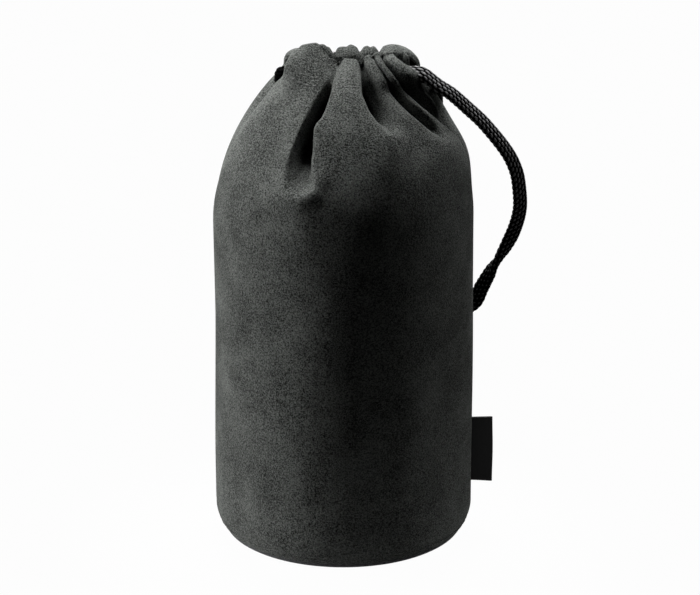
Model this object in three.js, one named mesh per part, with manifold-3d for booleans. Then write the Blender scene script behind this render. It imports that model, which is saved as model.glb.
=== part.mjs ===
// A drawstring pouch for a camera lens: a padded cloth cylinder with a sewn-in base, a gathered
// shoulder, two hems that hold the drawstring, and a folded label in the right side seam.
// Millimetres, +Z up. The origin is the centre of the underside, +X points to the label side
// and +Y to the back, where the tied ends of the string hang.
import * as THREE from "three";
import { mergeVertices } from "three/addons/utils/BufferGeometryUtils.js";
import Module from "manifold-3d";

const wasm = await Module();
wasm.setup();

// Gap between neighbouring pieces
const clearance = 0.3;

// Body
const bodyRadius = 52.5;
const cornerRadius = 12;
const baseSeamHeight = 7;
const wallTop = 141;
const clothThickness = 1.4;
const paddingThickness = 2;
const liningThickness = 0.8;
const baseFoamThickness = 5;
const liningInset = 2; // the lining stops this far under the shoulder

// Hems: flattened tubes of folded cloth that lean in over the mouth
const hemHeight = 200; // centre of the hem
const hemWidth = 13;
const hemThickness = 8.4;
const hemLean = THREE.MathUtils.degToRad(47);
const hemWall = 1.4;
const mouthCentre = 2.75;
const mouthHalfLength = 26.75;
const mouthBow = 4; // how far each hem bows away from the line between the mouth's ends
const endSlit = 1.2; // gap between the two hems at the mouth's ends
const hemPinch = 1.6; // how far a fold draws the hem in where it runs through it
const hemPinchHalfWidth = 2.6;

// Gathered shoulder, from the wall up to the hems
const shoulderEndReach = 2; // how far the shoulder reaches past the ends of the hems
const slitDrop = 6; // the side seams stop this far under the hems, where the string comes out
const shoulderRise = 22; // height over which the cloth leaves the wall nearly upright
const shoulderEase = 0.7; // how far it has drawn in by then
const shoulderDraw = 7.5; // how far the cloth has drawn in at the shoulder's bend
const shoulderFall = 16; // depth of that bend under the top of the shoulder
const foldHalfWidth = 5;
const foldCrest = 0.8; // step up the shoulder where a fold is deepest
const foldLeft = 0.2; // share of its depth that is left at the hem
const rimSquareness = 8; // how late the rim turns in towards the side seams
const slitSquareness = 6; // how late the rim drops towards the side seams

// Folds of the shoulder. Across a panel, -1 is the left seam and 1 the right seam; up the
// shoulder, 0 is the wall and 1 the hem. Each fold starts at one place and fans in to another.
const frontFolds = [
  { foot: -0.27, head: -0.155, start: 0.35, depth: 8 },
  { foot: 0.33, head: 0.148, start: 0.6, depth: 6.5 },
  { foot: 0.7, head: 0.32, start: 0.5, depth: 5.5 },
  { foot: 0.89, head: 0.454, start: 0.4, depth: 4.5 },
];
const backFolds = [
  { foot: -0.86, head: -0.7, start: 0.45, depth: 4.5 },
  { foot: -0.55, head: -0.464, start: 0.5, depth: 4.5 },
  { foot: -0.3, head: -0.256, start: 0.35, depth: 7 },
  { foot: 0.2, head: 0.123, start: 0.45, depth: 6 },
  { foot: 0.55, head: 0.388, start: 0.4, depth: 6.5 },
];
const halves = [
  { label: "front", side: -1, folds: frontFolds },
  { label: "back", side: 1, folds: backFolds },
];

// Drawstring: a soft braid, round here, with its free ends tied together behind the pouch
const stringDiameter = 5;
const knotRadii = new THREE.Vector3(7.5, 6, 8);
const crossingBow = 0.5;

// Label
const labelHeight = 28;
const labelBottom = 20;
const labelReach = 9;
const labelThickness = 1.8;
const labelPly = 0.6;

// Counts
const panelColumns = 40;
const cornerRows = 3;
const shoulderRows = 10;
const innerColumns = 24;
const roundSides = 48;
const hemSteps = 36;
const sectionSides = 12;
const stringSides = 10;
const placeSteps = 2; // steps of the string between two of its places

// Fine limits
const weldDistance = 1e-4;
const slopeStep = 0.01; // share of a panel over which its slope is taken

const halfTurn = Math.PI / 2;
const stringRadius = stringDiameter / 2;

// Finishes
const suede = new THREE.MeshStandardMaterial({ color: 0x3d3e3c, roughness: 0.95 });
const knitLining = new THREE.MeshStandardMaterial({ color: 0x2c2d2e, roughness: 0.9 });
const foam = new THREE.MeshStandardMaterial({ color: 0x5a5b5e, roughness: 1 });
const braid = new THREE.MeshStandardMaterial({ color: 0x121212, roughness: 0.6 });
const satin = new THREE.MeshStandardMaterial({ color: 0x0d0d0e, roughness: 0.45 });

const pouch = new THREE.Group();

function addPiece(name, geometry, material) {
  const mesh = new THREE.Mesh(geometry, material);
  mesh.name = name;
  pouch.add(mesh);
  return mesh;
}

// A closed body from a list of corners and triangles, turned so that its faces point out.
function solidGeometry(points, triangles) {
  const product = new THREE.Vector3();
  let volume = 0;
  for (let i = 0; i < triangles.length; i += 3) {
    product.crossVectors(points[triangles[i + 1]], points[triangles[i + 2]]);
    volume += points[triangles[i]].dot(product);
  }
  if (volume < 0) {
    triangles.reverse();
  }
  const geometry = new THREE.BufferGeometry().setFromPoints(points);
  geometry.setIndex(triangles);
  geometry.computeVertexNormals();
  return geometry;
}

function pushQuad(triangles, a, b, c, d) {
  triangles.push(a, b, c, a, c, d);
}

// Joins rings of equal length one after another; the last ring joins the first.
function ringLoop(rings) {
  const size = rings[0].length;
  const triangles = [];
  rings.forEach((_, k) => {
    const next = (k + 1) % rings.length;
    for (let i = 0; i < size; i += 1) {
      const j = (i + 1) % size;
      pushQuad(triangles, k * size + i, k * size + j, next * size + j, next * size + i);
    }
  });
  return solidGeometry(rings.flat(), triangles);
}

// Stacks rings that each run along an outer edge and back along an inner edge, and closes the
// two ends with a strip between those edges.
function bandStack(rings) {
  const size = rings[0].length;
  const last = (rings.length - 1) * size;
  const triangles = [];
  for (let k = 0; k + 1 < rings.length; k += 1) {
    for (let i = 0; i < size; i += 1) {
      const j = (i + 1) % size;
      const low = k * size;
      const high = low + size;
      pushQuad(triangles, low + i, low + j, high + j, high + i);
    }
  }
  for (let i = 0; i + 1 < size / 2; i += 1) {
    const back = size - 1 - i;
    pushQuad(triangles, i, back, back - 1, i + 1);
    pushQuad(triangles, last + i, last + i + 1, last + back - 1, last + back);
  }
  return solidGeometry(rings.flat(), triangles);
}

function toManifold(geometry) {
  const bare = geometry.clone();
  bare.deleteAttribute("normal");
  bare.deleteAttribute("uv");
  const merged = mergeVertices(bare, weldDistance);
  return new wasm.Manifold(
    new wasm.Mesh({
      numProp: 3,
      vertProperties: new Float32Array(merged.attributes.position.array),
      triVerts: new Uint32Array(merged.index.array),
    }),
  );
}

function fromManifold(solid) {
  const mesh = solid.getMesh();
  const geometry = new THREE.BufferGeometry();
  geometry.setAttribute("position", new THREE.BufferAttribute(mesh.vertProperties, 3));
  geometry.setIndex(new THREE.BufferAttribute(mesh.triVerts, 1));
  geometry.computeVertexNormals();
  return geometry;
}

// Base corner: a point on an arc about the corner's centre, at an angle from the wall downwards
const cornerCentre = new THREE.Vector2(bodyRadius - cornerRadius, cornerRadius);

function cornerPoint(radius, angle) {
  return new THREE.Vector2(
    cornerCentre.x + radius * Math.cos(angle),
    cornerCentre.y - radius * Math.sin(angle),
  );
}

function cornerAngle(radius, height) {
  return Math.asin((cornerRadius - height) / radius);
}

function cornerArc(radius, from, to) {
  const points = [];
  for (let i = 0; i <= cornerRows; i += 1) {
    points.push(cornerPoint(radius, THREE.MathUtils.lerp(from, to, i / cornerRows)));
  }
  return points;
}

const seamAngle = cornerAngle(cornerRadius, baseSeamHeight);
const clothInside = cornerRadius - clothThickness;
const foamOutside = clothInside - clearance;
const foamBottom = clothThickness + clearance;
const foamTop = foamBottom + baseFoamThickness;
const baseLiningBottom = foamTop + clearance;
const baseLiningTop = baseLiningBottom + liningThickness;

const paddingOutside = bodyRadius - clothThickness - clearance;
const paddingInside = paddingOutside - paddingThickness;
const liningOutside = paddingInside - clearance;
const liningInside = liningOutside - liningThickness;

// A profile of radius and height, turned about the upright axis
function turned(profile) {
  return new THREE.LatheGeometry(profile, roundSides).rotateX(halfTurn);
}

// Base: cloth dish, foam disc and lining disc
function basePieces() {
  const dish = [
    new THREE.Vector2(0, 0),
    ...cornerArc(cornerRadius, halfTurn, seamAngle),
    ...cornerArc(clothInside, seamAngle, halfTurn),
    new THREE.Vector2(0, clothThickness),
  ];
  const foamDisc = [
    new THREE.Vector2(0, foamBottom),
    ...cornerArc(foamOutside, halfTurn, cornerAngle(foamOutside, foamTop)),
    new THREE.Vector2(0, foamTop),
  ];
  const liningDisc = [
    new THREE.Vector2(0, baseLiningBottom),
    new THREE.Vector2(liningOutside, baseLiningBottom),
    new THREE.Vector2(liningOutside, baseLiningTop),
    new THREE.Vector2(0, baseLiningTop),
  ];
  addPiece("base_panel", turned(dish), suede);
  addPiece("base_foam", turned(foamDisc), foam);
  addPiece("base_lining", turned(liningDisc), knitLining);
}

// Half of an upright wall between two radii; side is -1 for the front and 1 for the back.
function halfWall(side, outside, inside, bottom, top) {
  const rings = [bottom, top].map((z) => {
    const arc = (radius) => {
      const edge = halfTurn - Math.asin(clearance / 2 / radius);
      const points = [];
      for (let i = 0; i <= innerColumns; i += 1) {
        const turn = THREE.MathUtils.lerp(-edge, edge, i / innerColumns);
        points.push(new THREE.Vector3(radius * Math.sin(turn), side * radius * Math.cos(turn), z));
      }
      return points;
    };
    return [...arc(outside), ...arc(inside).reverse()];
  });
  return bandStack(rings);
}

// Hem: its section, and how the shoulder meets its low edge
const hemFlat = (hemWidth - hemThickness) / 2; // half the straight part of the hem's section
const hemHalfDepth = hemFlat * Math.cos(hemLean) + hemThickness / 2;
const endDepth = hemHalfDepth + endSlit / 2;
const joinReach = (hemThickness / 2 + clearance) * Math.SQRT1_2; // shoulder to the hem's low edge
const lowEdgeDepth = hemFlat * Math.cos(hemLean) + joinReach;
const shoulderTop = hemHeight - hemFlat * Math.sin(hemLean) - joinReach;
const shoulderHalfLength = mouthHalfLength + shoulderEndReach;

// Depth of the hem's centre from the side seams' plane, at a distance from the mouth's centre
function hemDepth(folds, distance) {
  let depth = endDepth + mouthBow * (1 - (distance / mouthHalfLength) ** 2);
  for (const { head } of folds) {
    const gap = (distance - head * shoulderHalfLength) / hemPinchHalfWidth;
    depth -= hemPinch * Math.exp(-gap * gap);
  }
  return depth;
}

function hemCentre({ side, folds }, along) {
  const distance = mouthHalfLength * along;
  return new THREE.Vector3(mouthCentre + distance, side * hemDepth(folds, distance), hemHeight);
}

// A flattened ring in the upright plane across the mouth, leaning in over it.
function hemRing(half, along, flat, radius, sides) {
  const centre = hemCentre(half, along);
  const points = [];
  for (let i = 0; i < sides; i += 1) {
    const turn = ((i + 0.5) / sides) * 2 * Math.PI;
    const up = Math.sign(Math.cos(turn)) * flat + radius * Math.cos(turn);
    const out = radius * Math.sin(turn);
    const inward = up * Math.cos(hemLean) - out * Math.sin(hemLean);
    const rise = up * Math.sin(hemLean) + out * Math.cos(hemLean);
    points.push(new THREE.Vector3(centre.x, centre.y - half.side * inward, centre.z + rise));
  }
  return points;
}

function hemRings(half, flat, radius, sides) {
  const rings = [];
  for (let k = 0; k <= hemSteps; k += 1) {
    rings.push(hemRing(half, (2 * k) / hemSteps - 1, flat, radius, sides));
  }
  return rings;
}

function hemPieces(half) {
  const outer = hemRings(half, hemFlat, hemThickness / 2, sectionSides);
  const bore = hemRings(half, hemFlat, hemThickness / 2 - hemWall, sectionSides);
  addPiece(`${half.label}_hem`, ringLoop([...outer, ...bore.reverse()]), suede);
  const runs = hemRings(half, 0, stringRadius, stringSides);
  addPiece(`${half.label}_string_run`, cappedTube(runs), braid);
}

// A tube through rings, closed by a fan at each end.
function cappedTube(rings) {
  const size = rings[0].length;
  const points = rings.flat();
  const triangles = [];
  for (let k = 0; k + 1 < rings.length; k += 1) {
    for (let i = 0; i < size; i += 1) {
      const j = (i + 1) % size;
      pushQuad(triangles, k * size + i, k * size + j, (k + 1) * size + j, (k + 1) * size + i);
    }
  }
  const last = (rings.length - 1) * size;
  for (let i = 1; i + 1 < size; i += 1) {
    triangles.push(0, i + 1, i);
    triangles.push(last, last + i, last + i + 1);
  }
  return solidGeometry(points, triangles);
}

// Shoulder: how far the cloth has drawn in towards the mouth, and its height, at each step up
const shoulderCurve = new THREE.CubicBezierCurve(
  new THREE.Vector2(bodyRadius, wallTop),
  new THREE.Vector2(bodyRadius - shoulderEase, wallTop + shoulderRise),
  new THREE.Vector2(bodyRadius - shoulderDraw, shoulderTop - shoulderFall),
  new THREE.Vector2(shoulderHalfLength, shoulderTop),
);

function wallPoint(side, across, radius, height) {
  const turn = across * (halfTurn - Math.asin(clearance / 2 / radius));
  return new THREE.Vector3(radius * Math.sin(turn), side * radius * Math.cos(turn), height);
}

function shoulderPoint({ side, folds }, across, step) {
  const { x: radius, y: height } = shoulderCurve.getPoint(step);
  const drawn = (bodyRadius - radius) / (bodyRadius - shoulderHalfLength);
  // brings the rim in at the side seams
  const closing = Math.sqrt(1 - Math.min(1, across ** rimSquareness));
  const distance = shoulderHalfLength * across;
  const rim = new THREE.Vector3(
    mouthCentre + distance,
    side * (clearance / 2 + closing * (hemDepth(folds, distance) + lowEdgeDepth)),
    height,
  );
  const point = wallPoint(side, across, bodyRadius, height).lerp(rim, drawn);
  point.z -= slitDrop * drawn * across ** slitSquareness;
  return point;
}

function outwardNormal(half, across, step) {
  const left = shoulderPoint(half, across - slopeStep, step);
  const right = shoulderPoint(half, across + slopeStep, step);
  const below = shoulderPoint(half, across, Math.max(0, step - slopeStep));
  const above = shoulderPoint(half, across, Math.min(1, step + slopeStep));
  const normal = right.sub(left).cross(above.sub(below)).normalize();
  return normal.multiplyScalar(-half.side);
}

function foldDepth(folds, across, step) {
  const { x: radius } = shoulderCurve.getPoint(step);
  const share = (bodyRadius - radius) / (bodyRadius - shoulderHalfLength);
  const halfLength = THREE.MathUtils.lerp(bodyRadius * halfTurn, shoulderHalfLength, share);
  const width = foldHalfWidth / halfLength;
  let depth = 0;
  for (const fold of folds) {
    const centre = THREE.MathUtils.lerp(fold.foot, fold.head, step);
    const grown = THREE.MathUtils.smoothstep(step, fold.start, foldCrest);
    const eased = 1 - (1 - foldLeft) * THREE.MathUtils.smoothstep(step, foldCrest, 1);
    depth += fold.depth * grown * eased * Math.exp(-(((across - centre) / width) ** 2));
  }
  return depth;
}

// One row of a panel at the shoulder: the outside from left to right, then the inside back.
function shoulderRow(half, step) {
  const outside = [];
  const inside = [];
  for (let i = 0; i <= panelColumns; i += 1) {
    const across = (2 * i) / panelColumns - 1;
    const inward = outwardNormal(half, across, step).negate();
    const point = shoulderPoint(half, across, step);
    const depth = foldDepth(half.folds, across, step);
    const layers = [depth, depth + clothThickness].map((d) => {
      const moved = point.clone().addScaledVector(inward, d);
      moved.y = half.side * Math.max(clearance / 2, half.side * moved.y);
      return moved;
    });
    outside.push(layers[0]);
    inside.push(layers[1]);
  }
  return [...outside, ...inside.reverse()];
}

function wallRow(side, outer, inner) {
  const line = ({ x: radius, y: height }) => {
    const points = [];
    for (let i = 0; i <= panelColumns; i += 1) {
      points.push(wallPoint(side, (2 * i) / panelColumns - 1, radius, height));
    }
    return points;
  };
  return [...line(outer), ...line(inner).reverse()];
}

function panel(half) {
  const rows = [];
  const firstAngle = seamAngle - clearance / cornerRadius;
  const outer = cornerArc(cornerRadius, firstAngle, 0);
  const inner = cornerArc(clothInside, firstAngle, 0);
  outer.forEach((point, i) => rows.push(wallRow(half.side, point, inner[i])));
  for (let i = 0; i <= shoulderRows; i += 1) {
    rows.push(shoulderRow(half, i / shoulderRows));
  }
  return bandStack(rows);
}

function sidePieces(half) {
  const { label, side } = half;
  const paddingTop = wallTop - liningInset;
  const liningBottom = baseLiningTop + clearance;
  const padding = halfWall(side, paddingOutside, paddingInside, cornerRadius, paddingTop);
  const lining = halfWall(side, liningOutside, liningInside, liningBottom, paddingTop);
  addPiece(`${label}_panel`, panel(half), suede);
  addPiece(`${label}_padding`, padding, foam);
  addPiece(`${label}_lining`, lining, knitLining);
  hemPieces(half);
}

// Drawstring: hand-chosen places along each stretch
const frontLead = [
  [31.8, -5, 198.6],
  [36.2, -4.6, 195],
];
const backLead = [
  [31.9, 0.4, 195],
  [34.6, 2.8, 192.4],
];
const frontStrand = [
  [38.4, -4.4, 193.2],
  [43.4, -2.5, 189.2],
  [49.9, 0, 182.4],
  [56.8, 2, 174.9],
  [65.5, 4, 163],
  [69.7, 6, 153.7],
  [71.3, 8, 144.4],
  [71.6, 11, 134.7],
  [69.5, 14, 124.8],
  [65.6, 17, 114.9],
  [60.7, 21, 104.6],
  [56.9, 25, 95.5],
  [53.4, 29, 86.9],
  [44.5, 40, 78.5],
  [34, 49.5, 72.5],
  [21, 56.6, 68],
];
const backStrand = [
  [36.2, 4.6, 190.8],
  [37.3, 9.8, 188.3],
  [37.7, 15.6, 185.1],
  [37.7, 22, 180.9],
  [37.9, 29.1, 172.9],
  [38.1, 35.7, 162.4],
  [37.4, 41.5, 149],
  [34.7, 45.6, 133],
  [31, 48.4, 115],
  [27.5, 51.2, 98],
  [24.5, 53.8, 84],
  [21, 56.6, 68],
];
const frontTail = [
  [17.5, 56.6, 66],
  [16.4, 57.4, 54],
  [14.6, 58, 44],
];
const backTail = [
  [24.5, 56.6, 66],
  [25.4, 57, 55],
  [27.4, 57.2, 46],
];

function stringTube(places) {
  const curve = new THREE.CatmullRomCurve3(places.map((p) => new THREE.Vector3(...p)));
  const section = new THREE.Shape();
  for (let i = 0; i < stringSides; i += 1) {
    const turn = (i / stringSides) * 2 * Math.PI;
    const x = stringRadius * Math.cos(turn);
    const y = stringRadius * Math.sin(turn);
    if (i === 0) {
      section.moveTo(x, y);
    } else {
      section.lineTo(x, y);
    }
  }
  section.closePath();
  const steps = placeSteps * (places.length - 1);
  return new THREE.ExtrudeGeometry(section, { steps, extrudePath: curve });
}

function knotGeometry(extra) {
  const grown = knotRadii.clone().addScalar(extra);
  const ball = new THREE.SphereGeometry(1, sectionSides, stringSides);
  ball.scale(grown.x, grown.y, grown.z);
  return ball.translate(...frontStrand.at(-1));
}

function stringPieces() {
  const knotSpace = toManifold(knotGeometry(clearance));
  const strands = { front: frontStrand, back: backStrand };
  for (const [label, places] of Object.entries(strands)) {
    const start = new THREE.SphereGeometry(stringRadius, stringSides, stringSides);
    start.translate(...places[0]);
    const tube = toManifold(stringTube(places));
    const strand = tube.add(toManifold(start)).subtract(knotSpace);
    addPiece(`${label}_string_strand`, fromManifold(strand), braid);
  }
  const tails = { front: frontTail, back: backTail };
  for (const [label, places] of Object.entries(tails)) {
    const tail = toManifold(stringTube(places)).subtract(knotSpace);
    addPiece(`${label}_string_tail`, fromManifold(tail), braid);
  }
  addPiece("front_string_lead", stringTube(frontLead), braid);
  addPiece("back_string_lead", stringTube(backLead), braid);
  addPiece("string_knot", knotGeometry(0), braid);

  // The string crosses from the front hem to the back hem at the mouth's left end.
  const crossingX = mouthCentre - mouthHalfLength - clearance - stringRadius;
  const crossing = [
    [crossingX, -endDepth - stringRadius, hemHeight],
    [crossingX - crossingBow, 0, hemHeight],
    [crossingX, endDepth + stringRadius, hemHeight],
  ];
  addPiece("string_crossing", stringTube(crossing), braid);
}

// Label: a strip folded in two, with a round edge at the seam
function labelPiece() {
  const radius = labelThickness / 2;
  const slotRadius = radius - labelPly;
  const outline = new THREE.Shape();
  outline.absarc(0, 0, radius, halfTurn, -halfTurn);
  outline.absarc(labelReach, 0, radius, -halfTurn, halfTurn);
  const slot = new THREE.Path();
  slot.absarc(radius, 0, slotRadius, halfTurn, -halfTurn);
  slot.absarc(labelReach, 0, slotRadius, -halfTurn, halfTurn);
  outline.holes.push(slot);
  const strip = new THREE.ExtrudeGeometry(outline, {
    depth: labelHeight,
    bevelEnabled: false,
    curveSegments: cornerRows,
  });
  const label = addPiece("label", strip, satin);
  label.position.set(bodyRadius + clearance + radius, 0, labelBottom);
}

basePieces();
halves.forEach(sidePieces);
stringPieces();
labelPiece();

export default pouch;
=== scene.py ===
import math
from types import SimpleNamespace

import bpy
import numpy as np
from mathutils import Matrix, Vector


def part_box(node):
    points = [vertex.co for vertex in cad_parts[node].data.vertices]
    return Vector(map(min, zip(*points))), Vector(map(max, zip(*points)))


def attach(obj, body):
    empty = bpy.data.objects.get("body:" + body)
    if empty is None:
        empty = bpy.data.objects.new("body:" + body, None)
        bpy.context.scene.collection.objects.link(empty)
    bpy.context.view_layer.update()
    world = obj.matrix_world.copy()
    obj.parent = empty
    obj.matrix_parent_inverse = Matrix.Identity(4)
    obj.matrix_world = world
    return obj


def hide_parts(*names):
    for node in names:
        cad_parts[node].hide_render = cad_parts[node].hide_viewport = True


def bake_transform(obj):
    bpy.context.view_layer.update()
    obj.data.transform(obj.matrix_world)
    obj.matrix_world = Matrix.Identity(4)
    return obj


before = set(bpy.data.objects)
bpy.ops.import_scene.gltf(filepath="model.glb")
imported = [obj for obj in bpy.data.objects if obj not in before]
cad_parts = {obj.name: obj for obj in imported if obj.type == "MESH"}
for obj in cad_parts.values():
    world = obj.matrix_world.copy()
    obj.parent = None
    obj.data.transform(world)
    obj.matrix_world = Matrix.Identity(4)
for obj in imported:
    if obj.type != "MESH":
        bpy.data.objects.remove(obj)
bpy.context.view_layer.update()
scene = bpy.context.scene
scene.view_settings.view_transform = "Standard"
mm = 0.001

# camera of the photograph: straight from the front, looking down a little
cameraSet = {"tilt": 21.5, "distance": 2200.0, "target": (2.65, 0.0, 100.7), "lens": 278.0, "sensor": 36.0}
cameraTilt = math.radians(cameraSet["tilt"])
towardsCamera = (0.0, -math.cos(cameraTilt), math.sin(cameraTilt))


def addObject(name, data):
    made = bpy.data.objects.new(name, data)
    scene.collection.objects.link(made)
    return made


def addCamera():
    s = cameraSet
    lens = bpy.data.cameras.new("photoCamera")
    lens.lens, lens.sensor_width, lens.clip_end = s["lens"], s["sensor"], 20
    camera = addObject("photoCamera", lens)
    camera.location = [(t + s["distance"] * v) * mm for t, v in zip(s["target"], towardsCamera)]
    camera.rotation_euler = (math.pi / 2 - cameraTilt, 0, 0)
    scene.camera = camera


addCamera()
print("camera placed")


# small tools for settings, grids and smooth lines
def named(settings):  # values of a dictionary as s.value
    return SimpleNamespace(**settings)


def unit(v):
    return v / np.maximum(np.linalg.norm(v, axis=-1, keepdims=True), 1e-12)


def ease(t):  # 3t^2 - 2t^3 between 0 and 1
    t = np.clip(t, 0, 1)
    return t * t * (3 - 2 * t)


def between(value, low, high):  # eased from 0 at low to 1 at high
    return ease((value - low) / (high - low))


def stacked(*parts):  # coordinates side by side
    return np.stack(parts, -1)


def circle(x, y, radius, angle):  # middle plus radius times cosine and sine
    return stacked(x + radius * np.cos(angle), y + radius * np.sin(angle))


def bell(v, wide):  # 1 in the middle, falling as exp(-(v/wide)^2)
    return np.exp(-(v / wide) ** 2)


def gridQuads(rows, columns, closed=False):  # corners of each cell, columns may join up
    across = columns if closed else columns - 1
    i, j = np.meshgrid(np.arange(rows - 1), np.arange(across), indexing="ij")
    k = (j + 1) % columns
    low, high = i * columns, (i + 1) * columns
    return stacked(low + j, low + k, high + k, high + j).reshape(-1, 4)


def endCaps(rows, around):  # the first ring turned over, and the last
    ring = np.arange(around)
    return [ring[::-1], (rows - 1) * around + ring]


def gridNormals(p):  # step along a row cross step up a column
    return unit(np.cross(np.gradient(p, axis=1), np.gradient(p, axis=0)))


def lengthAlong(line):  # length from the first point to each point
    return np.concatenate([[0], np.cumsum(np.linalg.norm(np.diff(line, axis=0), axis=1))])


def alongLine(line, run, at):  # points of a line at given lengths
    return np.stack([np.interp(at, run, line[:, k]) for k in range(line.shape[1])], -1)


def evenLine(places, step, fineSteps=60):
    # Catmull-Rom through the places, then points at even steps of length
    p = np.asarray(places, float)
    q = np.vstack([2 * p[0] - p[1], p, 2 * p[-1] - p[-2]])
    t = np.linspace(0, 1, fineSteps, endpoint=False)[None, :, None]
    a, b, c, d = (q[k:len(p) - 1 + k, None, :] for k in range(4))
    fine = 0.5 * (2 * b + (c - a) * t + (2 * a - 5 * b + 4 * c - d) * t ** 2
                  + (3 * b - a - 3 * c + d) * t ** 3)
    fine = np.vstack([fine.reshape(-1, p.shape[1]), p[-1:]])
    run = lengthAlong(fine)
    at = np.linspace(0, run[-1], max(2, int(round(run[-1] / step)) + 1))
    return alongLine(fine, run, at), at


# points in mm; marks are values kept at each point
def addPiece(name, points, quads, material, caps=(), marks=None):
    mesh = bpy.data.meshes.new(name)
    corners = np.concatenate([np.asarray(quads, np.int32).ravel()] + [np.asarray(c, np.int32) for c in caps])
    sizes = np.concatenate([np.full(len(quads), 4, np.int32), np.array([len(c) for c in caps], np.int32)])
    starts = np.concatenate([[0], np.cumsum(sizes)[:-1]]).astype(np.int32)
    points = np.asarray(points, float).reshape(-1, 3)
    mesh.vertices.add(len(points))
    mesh.vertices.foreach_set("co", (points * mm).astype(np.float32).ravel())
    mesh.loops.add(len(corners))
    mesh.loops.foreach_set("vertex_index", corners)
    mesh.polygons.add(len(sizes))
    mesh.polygons.foreach_set("loop_start", starts)
    mesh.polygons.foreach_set("use_smooth", np.ones(len(sizes), bool))
    mesh.update(calc_edges=True)
    mesh.validate()
    for label, values in (marks or {}).items():
        mark = mesh.attributes.new(label, "FLOAT", "POINT")
        mark.data.foreach_set("value", np.asarray(values, np.float32).ravel())
    mesh.materials.append(material)
    made = addObject(name, mesh)
    material in slotOf
    return made


def thickSheet(grid, thickness):
    # the grid, the same grid set back along its normals, and a band of faces round the edge
    inner = grid - gridNormals(grid) * thickness
    rows, columns = grid.shape[:2]
    count = rows * columns
    quads = gridQuads(rows, columns)
    index = np.arange(count).reshape(rows, columns)
    edge = np.concatenate([index[0], index[1:, -1], index[-1, -2::-1], index[-2:0:-1, 0]])
    after = np.roll(edge, -1)
    band = stacked(after, edge, edge + count, after + count)
    points = np.concatenate([grid.reshape(-1, 3), inner.reshape(-1, 3)])
    return points, np.concatenate([quads, quads[:, ::-1] + count, band])


# one socket of a node tree; sums and products of wires become Math nodes
class Wire:
    def __init__(self, tree, socket=None):
        self.tree = tree
        self.socket = socket

    def node(self, kind, settings=None, values=None, out=0):
        made = self.tree.nodes.new("ShaderNode" + kind)
        for key, value in (settings or {}).items():
            if key == "stops":
                for stop, place in zip(made.color_ramp.elements, value):
                    stop.position = place
            else:
                setattr(made, key, value)
        for key, value in (values or {}).items():
            if isinstance(value, Wire):
                self.tree.links.new(value.socket, made.inputs[key])
            else:
                made.inputs[key].default_value = value
        return Wire(self.tree, made.outputs[out])

    def maths(self, operation, first, second):
        return self.node("Math", {"operation": operation}, {0: first, 1: second})

    def __add__(self, other):
        return self.maths("ADD", self, other)

    def __sub__(self, other):
        return self.maths("SUBTRACT", self, other)

    def __rsub__(self, other):
        return self.maths("SUBTRACT", other, self)

    def __mul__(self, other):
        return self.maths("MULTIPLY", self, other)

    __radd__ = __add__
    __rmul__ = __mul__


def emptyTree(owner):
    owner.use_nodes = True
    owner.node_tree.nodes.clear()
    return Wire(owner.node_tree)


def newFinish(name):
    finish = bpy.data.materials.new(name)
    return finish, emptyTree(finish)


def greyRange(wire, factor, low, high):  # a colour between two greys
    return wire.node("Mix", {"data_type": "RGBA"}, {"Factor": factor, "A": (*low, 1), "B": (*high, 1)}, out=2)


def noise(wire, place, scale, detail, rough):
    return wire.node(
        "TexNoise", None, {"Vector": place, "Scale": scale, "Detail": detail, "Roughness": rough})


def bands(wire, place, along, scale, distortion, fine):  # soft stripes that follow each other along one axis
    return wire.node(
        "TexWave", {"wave_type": "BANDS", "bands_direction": along, "wave_profile": "SIN"},
        {"Vector": place, "Scale": scale, "Distortion": distortion, "Detail": 1.0, "Detail Scale": fine})


def ramp(wire, factor, black, white):  # black below one value, white above the other
    return wire.node("ValToRGB", {"stops": (black, white)}, {"Fac": factor})


def bumpOf(wire, height, strength, depth):
    return wire.node("Bump", None, {"Strength": strength, "Distance": depth, "Height": height})


def closeFinish(wire, shader, kind="Material"):
    output = wire.tree.nodes.new("ShaderNodeOutput" + kind)
    wire.tree.links.new(shader.socket, output.inputs["Surface"])


# brushed patches, tufts under a millimetre across and single fibres: scale, detail, roughness
suedeSet = {
    # the near-black third grey below is a painted shade for deep folds and the string's shadow beside the
    # right slit; the last value is how strongly it is mixed in
    "dark": (0.0116, 0.0126, 0.0118), "light": (0.248, 0.2615, 0.246), "tucked": (0.0008, 0.0008, 0.0008),
    "brushed": (60.0, 4.0, 0.6), "nap": (1700.0, 1.6, 0.6), "fibre": (4200.0, 2.0, 0.6),
    "shares": (0.22, 0.54, 0.24), "ramp": (0.41, 0.61), "bump": (0.9, 0.0012),
    "sheen": 0.2, "sheenRoughness": 0.45, "sheenTint": (0.97, 1.0, 0.96, 1), "flattened": 0.97,
}


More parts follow.
